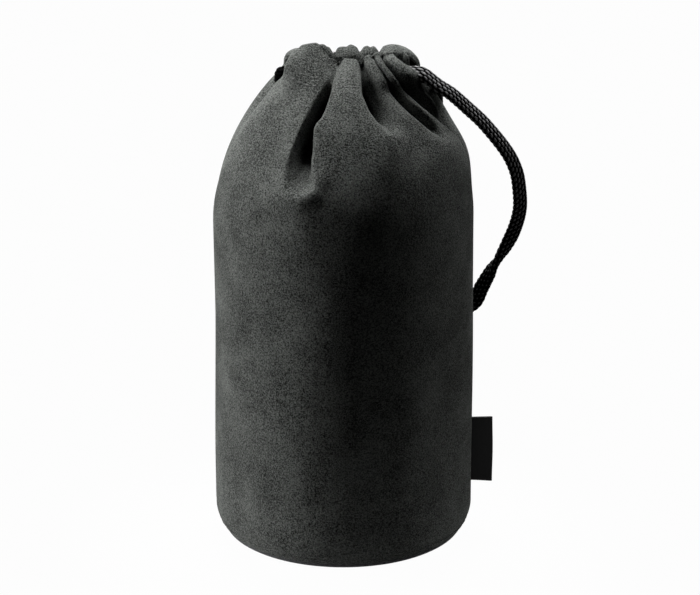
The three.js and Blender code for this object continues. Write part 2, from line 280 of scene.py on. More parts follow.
def suedeFinish():
    s = named(suedeSet)
    finish, w = newFinish("charcoalSuede")
    place = w.node("TexCoord", out=3)
    brushed, nap, fibre = (noise(w, place, *v) for v in (s.brushed, s.nap, s.fibre))
    mix = brushed * s.shares[0] + nap * s.shares[1] + fibre * s.shares[2]
    tone = ramp(w, mix, *s.ramp)
    shader = w.node("BsdfPrincipled", None, {
        "Base Color": greyRange(w, tone, s.dark, s.light), "Roughness": 0.86 + 0.1 * nap,
        "Normal": bumpOf(w, nap * 0.65 + fibre * 0.35, *s.bump), "Specular IOR Level": 0.0,
        "Sheen Weight": s.sheen, "Sheen Roughness": s.sheenRoughness, "Sheen Tint": s.sheenTint})
    # painted shade: deep in a fold and beside the right slit the suede is mixed towards a flat near black that
    # stands in for shade
    tucked = w.node("Attribute", {"attribute_name": "tucked"}, out=2)
    flat = w.node("BsdfPrincipled", None, {
        "Base Color": (*s.tucked, 1), "Roughness": 1.0, "Specular IOR Level": 0.0})
    closeFinish(w, w.node("MixShader", None, {0: s.flattened * tucked, 1: shader, 2: flat}))
    return finish


# greys: black gaps, the braid's own colour, and a lighter grey on the stitch tops that is a painted highlight
braidSet = {"gap": (0.0006, 0.0006, 0.0006), "yarn": (0.4, 0.4, 0.406), "strands": (2400.0, 2.0, 0.5),
            "ramp": (0.5, 0.98), "bump": (0.3, 0.0002), "sheen": 0.06, "sheenRoughness": 0.4}


def braidFinish():
    s = named(braidSet)
    finish, w = newFinish("blackBraid")
    # the stitch mark, dome times shine level, sets how much painted highlight each point gets
    stitch = w.node("Attribute", {"attribute_name": "stitch"}, out=2)
    strands = noise(w, w.node("TexCoord", out=3), *s.strands)
    tone = ramp(w, stitch * (0.75 + 0.5 * strands), *s.ramp)
    closeFinish(w, w.node("BsdfPrincipled", None, {
        "Base Color": greyRange(w, tone, s.gap, s.yarn), "Roughness": 0.7 - 0.2 * tone,
        "Normal": bumpOf(w, strands, *s.bump), "Specular IOR Level": 0.0,
        "Sheen Weight": s.sheen, "Sheen Roughness": s.sheenRoughness}))
    return finish


# patterns of the plainer finishes: what mixes the greys and lifts the surface, and what roughens it
def weave(w, place):  # ribs and warp of a tape
    ribs = bands(w, place, "Z", 620.0, 0.4, 3.0)
    return ribs * 0.6 + bands(w, place, "X", 900.0, 0.3, 3.0) * 0.4, ribs


def knitLoops(w, place):  # courses of a knit, with fuzz
    fuzz = noise(w, place, 1400.0, 2.0, 0.6)
    return bands(w, place, "Z", 300.0, 1.2, 4.0) * 0.6 + fuzz * 0.4, fuzz


def foamCells(w, place):
    return (w.node("TexVoronoi", {"feature": "F1"}, {"Vector": place, "Scale": 900.0}),) * 2


def threadTwist(w, place):
    return (noise(w, place, 5200.0, 1.0, 0.5),) * 2


# pattern, darker and lighter grey, bump strength and depth in metres, roughness and what the pattern adds
# to it, and what is the same all over
plainSets = {
    "blackSatinTape": (
        weave, (0.0016, 0.0016, 0.0017), (0.0062, 0.0062, 0.0064), (0.35, 0.00012), (0.42, 0.16),
        {"Specular IOR Level": 0.08, "Sheen Weight": 0.1}),
    "darkKnitLining": (
        knitLoops, (0.010, 0.0105, 0.011), (0.036, 0.037, 0.038), (0.4, 0.0003), (0.8, 0.12),
        {"Specular IOR Level": 0.2, "Sheen Weight": 0.3}),
    "greyFoam": (
        foamCells, (0.06, 0.06, 0.063), (0.14, 0.14, 0.146), (0.6, 0.0004), (0.9, 0.08),
        {"Specular IOR Level": 0.2}),
    "greySewingThread": (
        threadTwist, (0.05, 0.052, 0.05), (0.13, 0.133, 0.129), (0.3, 0.0001), (0.5, 0.2),
        {"Sheen Weight": 0.3}),
}


def plainFinish(name, pattern, low, high, bump, rough, constant):
    finish, w = newFinish(name)
    tone, roughBy = pattern(w, w.node("TexCoord", out=3))
    closeFinish(w, w.node("BsdfPrincipled", None, {
        "Base Color": greyRange(w, tone, low, high), "Roughness": rough[0] + rough[1] * roughBy,
        "Normal": bumpOf(w, tone, *bump), **constant}))
    return finish


suede, braid = suedeFinish(), braidFinish()
satin, knit, foam, thread = (plainFinish(name, *look) for name, look in plainSets.items())
slotOf = {suede: "suede", braid: "braid", satin: "satin", knit: "lining", foam: "foam", thread: "suede"}
print("finishes made")

# drawstring: a flat tubular braid, its stitches laid like bricks round the tube
stringSet = {
    "width": 6.2, "thick": 3, "columns": 10, "pitch": 2.6, "relief": 0.42, "slant": 0.4,
    "around": 70, "step": 0.4, "tailWidth": 5.6, "tailTip": 1.6,
    "frontInside": [(11.2, -4.8, 196.8), (17, -5.2, 197.2), (23.5, -5.1, 198.4), (28, -5, 199.1)],
    "frontLead": [(31.8, -5, 198.6), (36.2, -4.6, 195)],
    "frontStrand": [
        (38.4, -4.4, 193.2), (43.4, -2.5, 189.2), (49.9, 0, 182.4), (56.8, 2, 174.9), (65.5, 4, 163),
        (69.7, 6, 153.7), (71.3, 8, 144.4), (71.6, 11, 134.7), (69.5, 14, 124.8), (65.6, 17, 114.9),
        (60.7, 21, 104.6), (56.9, 25, 95.5), (53.4, 29, 86.9), (44.5, 40, 78.5), (34, 49.5, 72.5),
        (21, 56.6, 68)],
    "backInside": [(15, 4.6, 199.8), (21.6, 2.2, 199), (27.2, 0.6, 197.4)],
    "backLead": [(31.6, 0.7, 195.1), (34.8, 2.4, 192.9)],
    "backStrand": [
        (36.6, 5.2, 190.9), (37.4, 9.8, 188.3), (37.7, 15.6, 185.1), (37.7, 22, 180.9), (37.9, 29.1, 172.9),
        (38.1, 35.7, 162.4), (37.4, 41.5, 149), (34.7, 45.6, 133), (31, 48.4, 115), (27.5, 51.2, 98),
        (24.5, 53.8, 84), (21, 56.6, 68)],
    "frontTail": [(18.6, 56.4, 69), (17.5, 56.6, 66), (16.4, 57.4, 54), (14.6, 58, 44)],
    "backTail": [(23.4, 56.4, 69), (24.5, 56.6, 66), (25.4, 57, 55), (27.4, 57.2, 46)],
    # degrees that the flat side has turned, and how much the stitches shine, at shares of the length
    "frontTurns": [
        (0, -40), (0.14, -40), (0.3, -38), (0.45, -34), (0.57, -34), (0.61, -60), (0.64, -90), (0.67, -132),
        (0.71, -155), (1, -180)],
    "frontShine": ((0, 1), (0.25, 1), (0.45, 0.86), (0.6, 0.72), (0.68, 0.62), (1, 0.62)),
    "frontTailTurns": ((0, 10), (1, 40)), "backTailTurns": ((0, -10), (1, -30)),
}
knotSet = {"centre": (21, 56.6, 68), "radii": (7.5, 6, 8), "tube": 2.3, "steps": 260, "around": 30,
           "columns": 8, "pitch": 2, "relief": 0.3}
# the stitches' painted highlight is kept lower where the string lies behind or inside, and lower still on the
# crossing as painted shade
dimShine = ((0, 0.64), (1, 0.64))
darkShine = ((0, 0.5), (1, 0.5))
unturned = ((0, 0), (1, 0))
stitchFoot = 0.4  # share of a stitch's height that lies below the tube's surface


def braidSection(width, thick, count):
    # half width times |cos|^0.75, half thickness times |sin|^0.75, at even steps round the edge
    t = np.linspace(0, 2 * np.pi, 2001)
    x, y = (np.sign(v) * np.abs(v) ** 0.75 for v in (np.cos(t), np.sin(t)))
    edge = stacked(width / 2 * x, thick / 2 * y)
    run = lengthAlong(edge)
    edge = alongLine(edge, run, np.linspace(0, run[-1], count, endpoint=False))
    step = np.roll(edge, -1, 0) - np.roll(edge, 1, 0)
    return edge, unit(stacked(step[:, 1], -step[:, 0]))


def stitchDomes(at, around, columns, pitch, slant=0):
    # each stitch is a half ellipsoid, the root of 1 - across^2 - along^2, laid like bricks:
    # every other column is half a stitch further on
    column = np.arange(around) / around * columns
    nearest = np.round(column)
    off = (column - nearest)[None, :]
    row = at[:, None] / pitch + 0.5 * (nearest % 2)[None, :] + slant * off
    gap = row - np.round(row)
    return np.sqrt(np.clip(1 - (off / 0.52) ** 2 - (gap / 0.5) ** 2, 0, 1))


def braidTube(name, places, turns=unturned, facing=towardsCamera, width=stringSet["width"], tip=0,
              shine=((0, 1), (1, 1))):
    # the flat section carried along the path, its flat side facing one way apart from the turns
    s = named(stringSet)
    path, at = evenLine(places, s.step)
    along = unit(np.gradient(path, axis=0))
    look = np.asarray(facing, float)
    flat = unit(look - (along @ look)[:, None] * along)
    side = np.cross(along, flat)
    share = at / at[-1]
    turn = np.radians(np.interp(share, *zip(*turns)))[:, None]
    flat, side = flat * np.cos(turn) + side * np.sin(turn), side * np.cos(turn) - flat * np.sin(turn)
    edge, out = braidSection(width, s.thick, s.around)
    dome = stitchDomes(at, s.around, s.columns, s.pitch, s.slant)
    shrink = np.ones((len(at), 1))
    if tip:  # a cut end, melted thin and smooth
        close = np.clip((at[-1] - at) / tip, 0, 1)[:, None]
        shrink = 0.35 + 0.65 * np.sqrt(close)
        dome = dome * ease(close)
    lift = s.relief * (dome - stitchFoot)
    wide = (edge[:, 0] + out[:, 0] * lift) * shrink
    tall = (edge[:, 1] + out[:, 1] * lift) * shrink
    points = path[:, None] + wide[..., None] * side[:, None] + tall[..., None] * flat[:, None]
    quads = gridQuads(*wide.shape, closed=True)
    # the stitch domes carry the painted highlight, scaled along the string by the shine table
    marks = {"stitch": dome * np.interp(share, *zip(*shine))[:, None]}
    return addPiece(name, points, quads, braid, endCaps(*wide.shape), marks), path


def knotTube():
    # a trefoil: (sin t + 2 sin 2t, -sin 3t, cos t - 2 cos 2t), pressed into the knot's room
    s = named(knotSet)
    t = np.linspace(0, 2 * np.pi, s.steps, endpoint=False)
    x, y, z = np.array(s.radii) - s.tube
    line = np.stack([(np.sin(t) + 2 * np.sin(2 * t)) / 3 * x, -np.sin(3 * t) * 0.9 * y,
                     (np.cos(t) - 2 * np.cos(2 * t)) / 3 * z], -1) + np.array(s.centre)
    along = unit(np.roll(line, -1, 0) - np.roll(line, 1, 0))
    flat = unit(np.cross(along, np.array([0, 1, 0])))
    side = np.cross(along, flat)
    dome = stitchDomes(lengthAlong(line), s.around, s.columns, s.pitch)
    angle = np.arange(s.around) / s.around * 2 * np.pi
    radius = s.tube + s.relief * (dome - stitchFoot)
    wide, tall = radius * np.cos(angle), radius * np.sin(angle)
    points = line[:, None] + wide[..., None] * flat[:, None] + tall[..., None] * side[:, None]
    quads = gridQuads(s.steps + 1, s.around, closed=True) % (s.steps * s.around)
    # the knot's stitches carry the lower painted highlight
    return addPiece("stringKnot", points, quads, braid, (), {"stitch": dimShine[0][1] * dome})


def addStrings():
    s = stringSet
    frontCord, frontPath = braidTube(
        "frontString", s["frontInside"] + s["frontLead"] + s["frontStrand"],
        s["frontTurns"], shine=s["frontShine"])
    backCord, backPath = braidTube(
        "backString", s["backInside"] + s["backLead"] + s["backStrand"],
        facing=(0.75, 0.6, 0.3), shine=dimShine)
    knot = knotTube()
    frontTail, backTail = (
        braidTube(end + "StringTail", s[end + "Tail"], s[end + "TailTurns"], (0, 1, 0),
                  s["tailWidth"], s["tailTip"], dimShine)[0] for end in ("front", "back"))
    for piece in (knot, frontTail, backTail):
        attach(piece, "string_loop")
    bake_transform(frontCord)
    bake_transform(backCord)
    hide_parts("front_string_lead", "front_string_strand")
    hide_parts("back_string_lead", "back_string_strand")
    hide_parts("string_knot")
    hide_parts("front_string_tail")
    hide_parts("back_string_tail")
    lengths = []
    for cord, path, exitPoint, riders in (
            (frontCord, frontPath, s["frontLead"][0], [knot, frontTail, backTail]),
            (backCord, backPath, s["backLead"][0], [])):
        length = float(lengthAlong(path)[-1]) * mm
        lengths.append(round(length, 4))
        [v * mm for v in exitPoint]
        (path * mm).tolist()
    return lengths


print("strings:", addStrings())

# cloth halves: wall, gathered shoulder and hem in one sheet each, worked out as seen from their own side
clothSet = {
    "radius": 52.5, "corner": 12, "seamHeight": 7, "wallTop": 134, "thickness": 1,
    "shoulder": [(52.5, 134), (52.4, 157), (44.8, 178.6), (28.75, 195.1)],
    "hemHeight": 200, "ringCentre": 3.1, "ringLength": 23.6, "ringPower": 2.6, "rimOut": 4.75,
    "mouthShrink": 0.92, "mouthBow": 1.2, "hemDrop": 4, "leftRise": 3, "endClose": 3.6,
    "fuller": 0.06, "leastTop": 2.4, "bowReach": 0.9, "innerLean": 0.12, "pleatsLeft": 0.45,
    "tipShut": 0.8, "heartUp": 1.0, "leftClosed": 0.8, "bendReach": 4.0, "bendTimes": 6,
    # length from the middle to a side seam at the wall, what the drawing in takes off it, and at the hem
    "wallReach": 82.5, "drawnReach": 52.0, "hemReach": 30.0, "seamWide": 4.2, "seamRoll": 1.2, "rollWide": 0.9,
    # eased from the first value to the second: slits, hem ends, mouth's line, seams up and down, and the
    # painted string shadow beside the right slit
    "slitOpens": (0.75, 1), "leftCloses": (0.45, 1), "rightEnd": (11, 18), "tipTurn": (0.4, 0.95),
    "mouthTurn": (5, 13), "riseFrom": (14, 24), "seamSinks": (138, 174), "seamRises": (190, 196),
    "slitDark": (174, 186), "slitEnds": (196, 201),
    # tuck gives the tucked lower edge; then the fold depth where the painted shade begins, the depth over
    # which it grows full, and the strength of the painted string shadow beside the slit
    "tuck": [(-2.4, 1.6), (-1.5, 0.2), (-0.6, -0.1)], "darkFrom": 3, "darkOver": 4.4, "slitDarkness": 0.9,
    "columns": 281, "cornerRows": 8, "wallRows": 24, "shoulderRows": 92, "faceRows": 16,
    "topRows": 18, "innerRows": 6,
}
# folds: (widths of both walls, how far both lips cover, extra width of a shallow foot, rows), each row
# (height, left edge, right edge, depth) on the camera's plane through its target, in mm
frontFolds = [
    ((2, 1.4), (0.2, 1.6), 4.6, [
        (41.5, -23.5, -16, 0), (44.5, -25.2, -14.6, 1.5), (47.5, -25.8, -15, 2.7), (51, -25.2, -15.8, 3.7),
        (55, -24.2, -16.4, 6), (60, -22.8, -15.9, 10.5), (65.3, -20.8, -15.9, 17), (69.4, -19, -15.6, 20),
        (71.8, -17.8, -14.2, 21), (74.7, -16.2, -11.6, 21), (77.1, -15, -10.4, 19), (81.2, -12.8, -9, 14),
        (83.6, -11.4, -8.2, 8.5), (85.4, -10.2, -7.4, 3.8), (87.5, -9, -6.6, 2.2), (90.5, -7.6, -5.2, 2),
        (95, -5.9, -3.9, 2), (97.5, -5.2, -3.5, 2), (99.9, -5, -3.4, 2)]),
    ((1.4, 9), (1.1, 0.2), 1, [
        (65, 15, 17.2, 0), (68, 14.5, 17.2, 1), (70.6, 13, 16.9, 3.2), (73, 10.6, 16.3, 5.8),
        (76.7, 7.9, 15.1, 7.6), (80.4, 6.3, 13.4, 8.4), (83.6, 4.9, 11.4, 8.4), (86.9, 4.7, 9.4, 7.2),
        (91, 4.4, 6.5, 4.4), (94.2, 3.9, 5.4, 3), (96.7, 3.7, 5.2, 2.4), (99.9, 3.7, 5.1, 2.2)]),
    ((1.4, 5), (0.9, 0.2), 0.6, [
        (63.6, 36.2, 38, 0), (66, 35, 37, 0.8), (69, 32.4, 35.2, 3), (71.8, 29.2, 32.4, 5.4),
        (75.1, 25.2, 28.6, 6.8), (78.7, 21, 24, 6.6), (82.8, 17.2, 20.2, 5.6), (86.9, 14.9, 17.4, 4.6),
        (91, 12.6, 14.6, 3.6), (94.2, 10.5, 12.2, 2.8), (96.7, 9.1, 10.6, 2.4), (99.9, 8.2, 9.7, 2)]),
    ((1.5, 5), (0.7, 0.2), 0.6, [
        (59, 47.2, 51.5, 0), (64.1, 44.8, 48.9, 1.8), (68.6, 40.9, 45.8, 3.8), (71.4, 37.8, 42.9, 4.8),
        (75.5, 33, 38.6, 5.2), (79.2, 28.1, 34.2, 5.2), (82.4, 24.4, 29.4, 4.8), (84.9, 22, 25.4, 4.4),
        (86.9, 20.6, 23.2, 3.8), (88.9, 19.1, 21.2, 3.4), (91.4, 17.5, 19.3, 3), (93.9, 15.5, 17.1, 2.5),
        (96.7, 13.1, 14.5, 2.1), (99.1, 12.3, 13.7, 1.8), (101.5, 11.9, 13.3, 1.6)]),
]
backFolds = [
    ((2.6, 2.6), (0.4, 0.4), 1, [
        (58, -44, -38, 0), (64, -40, -34, 2.4), (72, -34.5, -29, 4.5), (80, -28.5, -23.5, 4),
        (88, -22.5, -19.5, 1.4), (95, -19, -17.4, 0.2), (100, -18.6, -17, 0.1)]),
    ((2.4, 2.4), (0.3, 0.3), 1, [
        (68, -24.5, -21.5, 0), (73, -22.5, -18.5, 2.2), (80, -19, -15, 3.6), (88, -15.5, -12.8, 1.8),
        (96, -13.4, -12, 0.5), (101, -13.2, -11.8, 0.4)]),
    ((2.6, 2), (0.6, 0.6), 1, [
        (52, -20, -13.5, 0), (57, -19, -12, 2.6), (64, -17, -10.5, 6), (72, -14.2, -9, 8),
        (80, -11.4, -7.4, 7.5), (88, -9, -6.4, 4.6), (95, -7.6, -5.8, 3), (101, -7.4, -5.4, 2.8)]),
    ((2, 2.6), (0.5, 0.4), 1, [
        (60, 8.5, 12.5, 0), (66, 7.8, 13.2, 2.6), (73, 6.2, 12, 5.4), (80, 5, 9.8, 5.8), (88, 4, 6.8, 3.6),
        (95, 3.4, 5, 2.2), (101, 3.2, 4.8, 1.9)]),
    ((2, 2.6), (0.5, 0.4), 1, [
        (57, 31, 36.5, 0), (63, 28, 34, 2.6), (71, 23, 29.5, 5.6), (79, 17.8, 23, 5.8), (87, 14, 17.4, 3.8),
        (95, 11.3, 13, 2.8), (101, 10.8, 12.6, 2.6)]),
]
# creases: (points, depth, half width), a ridge where the depth is below nought;
# puffs: (x, height, half width, reach above, reach below, rise)
frontCreases = [
    ([(-17.1, 96.6), (-14.7, 96.4), (-11.8, 96.7)], 0.5, 0.6),
    ([(-18.5, 94), (-16.3, 94.1), (-13.6, 94.4)], 0.45, 0.6),
    ([(-9.2, 99), (-9, 95.8), (-8.6, 92.4)], 1, 0.9),
    ([(-13.6, 103), (-12.6, 101), (-11.4, 98.8)], 0.9, 0.8),
    ([(-27, 45.6), (-24.6, 41.2), (-20.4, 38.4), (-15.8, 42.4), (-11.6, 48)], -1.2, 4)]
frontPuffs = [
    (-21, 39.5, 12, 4.5, 34, 1.7), (17, 64.6, 5, 2.8, 14, 1.9), (38, 62.6, 5, 2.8, 14, 1.9),
    (-0.4, 82.4, 3.2, 1.4, 7, 0.5), (48.5, 59.5, 6.5, 15, 15, 2.7)]
backCreases = [
    ([(-1.6, 101), (-1.2, 96), (-0.8, 91)], 0.6, 0.9),
    ([(8.2, 101), (8.5, 95), (9, 89)], 0.7, 0.8)]
backPuffs = [
    (-15.5, 49, 6, 4, 20, 1.4), (10.5, 58, 4, 3, 15, 1), (48.5, 59.5, 5.5, 15, 15, 2.7)]
# hems: face (outward, up) from the seam's foot to the upper edge, top (share of the way to the mouth, up),
# and the top's width; in the middle and at the ends
hemFoot = (4.75, -4.86)
endHem = (
    [(4.95, -3), (4.75, -0.9), (3.95, 1.4), (2.5, 3.4), (0.8, 4.8), (-0.8, 5.5)],
    [(0, 5.5), (0.2, 5.9), (0.45, 5.9), (0.7, 5.5), (0.88, 4.6), (1, 3.2)], 8.0)
tipHem = (
    [(4.8, -2.9), (4.5, -0.8), (3.7, 1.5), (2.2, 3.8), (0.2, 5.6), (-2.4, 7)],
    [(0, 7), (0.35, 7.4), (0.7, 6.9), (1, 5)], 2.2)
domeHem = (
    [(3, -3), (1, -1), (-1.2, 1.1), (-3.6, 3.3), (-6.2, 5.4), (-9, 7)], *tipHem[1:])
lowHem = (
    [(4.8, -3), (4.5, -1), (3.9, 1), (3, 2.7), (1.9, 3.9), (0.7, 4.5)],
    [(0, 4.5), (0.3, 4.8), (0.6, 4.5), (0.85, 3.6), (1, 2.2)], 4.0)
cutHem = (
    [(5.4, -3), (5, -0.9), (3.3, 1.3), (0.8, 3.3), (-2.2, 5), (-5.2, 6.2)],
    [(0, 6.5), (0.3, 7), (0.6, 6.7), (0.85, 5.6), (1, 4)], 4.0)
frontHem = (
    [(3.2, -3.7), (1, -2.15), (-1.4, -0.6), (-3.8, 0.95), (-6, 2.3), (-7.4, 3.1)],
    [(0, 3.1), (0.3, 3.6), (0.6, 3.3), (0.85, 2.2), (1, 0.6)], 2.0)
backHem = (
    [(4.3, -3.2), (3.3, -1.2), (2, 0.9), (0.3, 2.9), (-1.6, 4.6), (-3.4, 5.7)],
    [(0, 5.7), (0.15, 6.2), (0.3, 6.2), (0.5, 5.6), (0.7, 4.6), (0.87, 3.3), (1, 1.8)], 7.0)
# each half has its hems in the middle, at the left end, at its tip and at the right end
halfSets = {
    "front": {"side": 1, "depth": 10.4, "mouth": 0.5, "mouthLeft": 5.1,
              "trimLeft": 3.2, "trimLow": 2.5, "trimTop": 8.0, "seamLeft": 2.2, "seamRight": 2.0,
              "folds": frontFolds, "creases": frontCreases, "puffs": frontPuffs, "leftEnd": (-10.0, -1.5),
              "leanTo": {"rim": (-20.5, -2.0), "edge": (-18.5, -3.5), "back": 2.7},
              "hems": (frontHem, domeHem, tipHem, cutHem)},
    "back": {"side": -1, "depth": 9.6, "mouth": 0.4, "mouthLeft": -5.2,
             "trimLeft": 3.2, "trimLow": 2.2, "trimTop": 0.8, "seamLeft": 2.2, "seamRight": 4.6,
             "folds": backFolds, "creases": backCreases, "puffs": backPuffs, "leftEnd": (-19.0, -7.0),
             "leanTo": None, "hems": (backHem, lowHem, lowHem, endHem)},
}
# lips lean over a fold, walls widen where it is shallow, and the cloth between folds bulges towards the hem
foldSet = {"lipIn": 0.4, "lipWide": 1.7, "coverDepth": 5.0, "footDepth": 12.0, "widestWall": 0.95,
           "wallOut": 0.3, "bulgeFrom": (58, 88), "bulge": 0.3, "mostBulge": 1.3,
           "leastReach": 0.3, "creaseStep": 0.3}


def cameraPlane(p):  # right and up on the plane through the camera's target, as the lens sees them
    x, y, z = (p[..., k] - cameraSet["target"][k] for k in range(3))
    away = cameraSet["distance"]
    near = away / (away + y * math.cos(cameraTilt) - z * math.sin(cameraTilt))
    return x * near, (y * math.sin(cameraTilt) + z * math.cos(cameraTilt)) * near


def hemRing(depth):
    # superellipse: x = c - l |cos t|^(2/p), y = -d |sin t|^(2/p), at even steps of length,
    # with its outward direction
    s = named(clothSet)
    t = np.linspace(0, np.pi, 4001)
    power = 2 / s.ringPower
    x = s.ringCentre - s.ringLength * np.sign(np.cos(t)) * np.abs(np.cos(t)) ** power
    fine = stacked(x, -depth * np.abs(np.sin(t)) ** power)
    run = lengthAlong(fine)
    ring = alongLine(fine, run, np.linspace(0, run[-1], 801))
    along = unit(np.gradient(ring, axis=0))
    return ring, stacked(along[:, 1], -along[:, 0]), run[-1]


def ringAt(table, share):
    return alongLine(table, np.linspace(0, 1, len(table)), share)


def foldLift(x, w, half):
    # a fold is its depth times two eased walls; between folds the cloth bulges as 1 - u^2;
    # covers lean the lips over the fold
    s = named(foldSet)
    lift, lean = np.zeros_like(x), np.zeros_like(x)
    before = x[:, :1] + np.zeros_like(x)
    edges = []
    for walls, cover, foot, rows in half.folds:
        heights, *others = np.array(rows).T
        left, right, depth = (np.interp(w, heights, v) for v in others)
        coverLeft, coverRight = (v * np.clip(depth / s.coverDepth, 0, 1) for v in cover)
        low, high = left - coverLeft, right + coverRight
        shallow = foot * (1 - np.clip(depth / s.footDepth, 0, 1))
        wallLeft, wallRight = (np.minimum(v + shallow, s.widestWall * (high - low)) for v in walls)
        lift -= depth * ease((x - low) / wallLeft + s.wallOut) * ease((high - x) / wallRight + s.wallOut)
        lean += coverLeft * bell(x - low + s.lipIn, s.lipWide)
        lean -= coverRight * bell(x - high - s.lipIn, s.lipWide)
        edges.append((before, low))
        before = high
    edges.append((before, x[:, -1:] + np.zeros_like(x)))
    grown = between(w, *s.bulgeFrom)
    for low, high in edges:
        reach = np.maximum((high - low) / 2, s.leastReach)
        u = (x - (low + high) / 2) / reach
        lift += np.minimum(s.mostBulge, s.bulge * reach) * grown * np.clip(1 - u * u, 0, 1)
    for points, depth, wide in half.creases:
        line, _ = evenLine(points, s.creaseStep)
        gap = np.min((x[..., None] - line[:, 0]) ** 2 + (w[..., None] - line[:, 1]) ** 2, axis=-1)
        lift -= depth * np.exp(-gap / wide ** 2)
    for px, pw, wide, above, below, rise in half.puffs:
        lift += rise * bell(x - px, wide) * bell(w - pw, np.where(w > pw, above, below))
    return lift, lean


def soften(field):  # a quarter, half, quarter blur, twice both ways
    for axis in (0, 1, 0, 1):
        at = np.arange(field.shape[axis])
        low = np.take(field, np.maximum(at - 1, 0), axis)
        high = np.take(field, np.minimum(at + 1, at[-1]), axis)
        field = 0.25 * low + 0.5 * field + 0.25 * high
    return field


def hemProfile(face, top, width):  # even steps along the face and along the top of a hem
    made = []
    for line, rows, wide in (([hemFoot, *face], clothSet["faceRows"], 1), (top, clothSet["topRows"], width)):
        stretch = np.array([wide, 1.0])
        fine, run = evenLine(np.array(line) * stretch, 0.02)
        made.append(alongLine(fine, run, np.linspace(0, run[-1], rows + 1)[1:]) / stretch)
    return made


def clothProfile():
    # radius and height up one side: tucked edge, base corner as an arc, upright wall, shoulder as a cubic
    # Bezier; and how far each row is drawn in, from 0 at the wall to 1 at the hem
    s = named(clothSet)
    centre = s.radius - s.corner
    first = math.asin((s.corner - s.seamHeight) / s.corner)
    arc = np.linspace(first, 0, s.cornerRows)
    low = np.array(s.tuck) + [centre + s.corner * math.cos(first), s.seamHeight]
    corner = circle(centre, s.corner, s.corner, -arc)
    heights = np.linspace(s.corner, s.wallTop, s.wallRows + 2)[1:-1]
    wall = stacked(np.full(s.wallRows, s.radius), heights)
    t = np.linspace(0, 1, s.shoulderRows)[:, None]
    a, b, c, d = np.array(s.shoulder)
    shoulder = (1 - t) ** 3 * a + 3 * (1 - t) ** 2 * t * b + 3 * (1 - t) * t ** 2 * c + t ** 3 * d
    profile = np.vstack([low, corner, wall, shoulder])
    drawn = np.clip((s.radius - profile[:, 0]) / (s.radius - d[0]), 0, 1)
    drawn[:len(low) + len(corner)] = 0
    return profile, drawn


